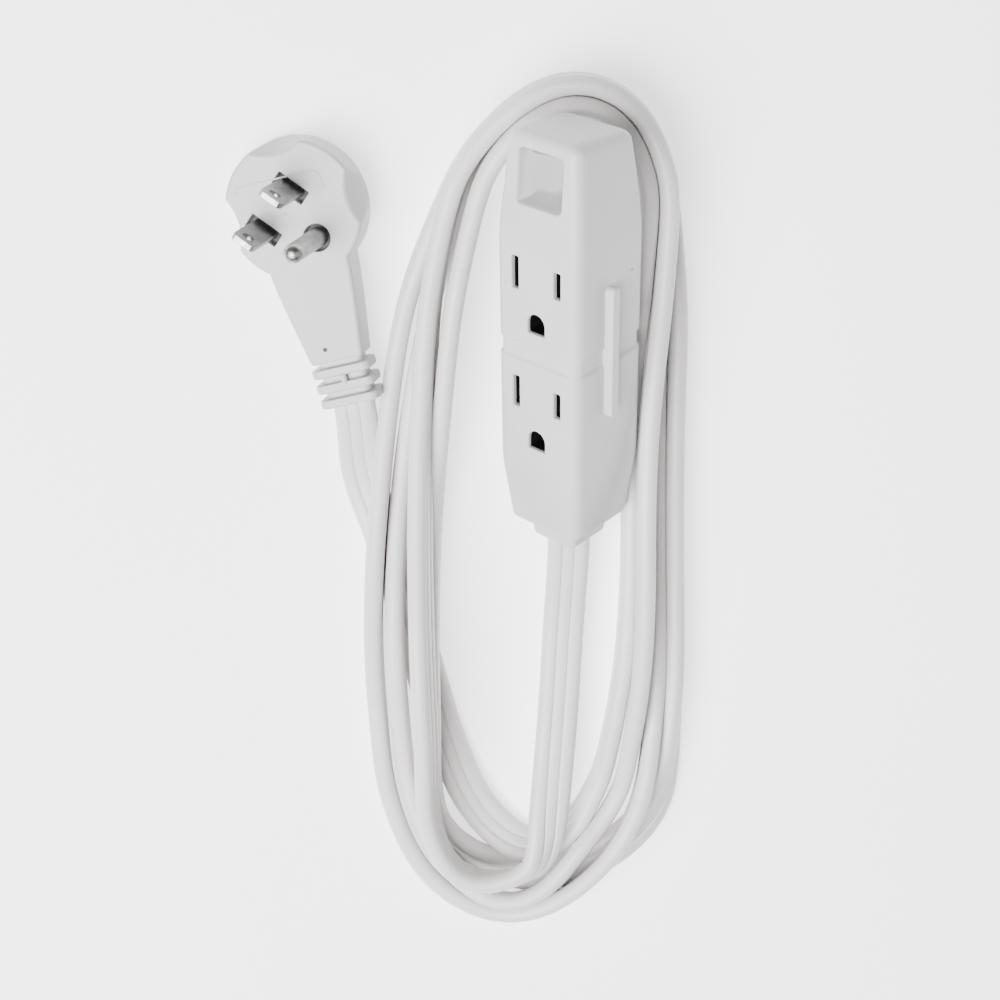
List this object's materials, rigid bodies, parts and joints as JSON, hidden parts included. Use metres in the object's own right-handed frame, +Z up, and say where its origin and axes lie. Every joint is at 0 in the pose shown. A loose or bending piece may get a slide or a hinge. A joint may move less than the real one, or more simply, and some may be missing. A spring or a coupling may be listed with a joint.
{
  "type": "extension cord",
  "caption": "Indoor extension cord: a square-section tap block with grounded outlets, a flat grounded cord wound in an oval coil, and a flat low-profile plug.",
  "frame": {"origin": "bottom centre of the tap block's box as it lies, on the plane that the block's cord end, the coil and the plug rest on; the cord and what is on it are left out of that box", "axes": "+Y along the block towards its far end (its length, tilted 14 degrees up from the plane), +X across it towards the side with the rib, +Z up"},
  "size_m": [0.1137, 0.2326, 0.0508],
  "materials": {
    "block_shell": "smooth moulded, light satin",
    "block_inner": "plain moulded",
    "contact_brass": "bare strip",
    "copper_wire": "bare stranded copper",
    "cord_jacket": "soft extruded vinyl, light satin",
    "plug_shell": "smooth moulded, light satin",
    "bridge_dark": "plain moulded",
    "blade_metal": "nickel plated, lightly brushed"
  },
  "bodies": {
    "root": {"tap_body": "block_shell", "tap_strain_relief": "block_shell", "contact_carrier": "block_inner", "carrier_lid": "block_inner", "line_bus": "contact_brass", "neutral_bus": "contact_brass", "ground_bus": "contact_brass", "tap_line_wire": "copper_wire", "tap_neutral_wire": "copper_wire", "tap_ground_wire": "copper_wire", "tap_lead": "cord_jacket", "cord_coil": "cord_jacket", "plug_lead": "cord_jacket", "plug_body": "plug_shell", "plug_strain_relief": "plug_shell", "pin_bridge": "bridge_dark", "line_blade": "blade_metal", "neutral_blade": "blade_metal", "ground_pin": "blade_metal", "plug_line_wire": "copper_wire", "plug_neutral_wire": "copper_wire", "plug_ground_wire": "copper_wire"}
  },
  "joints": []
}
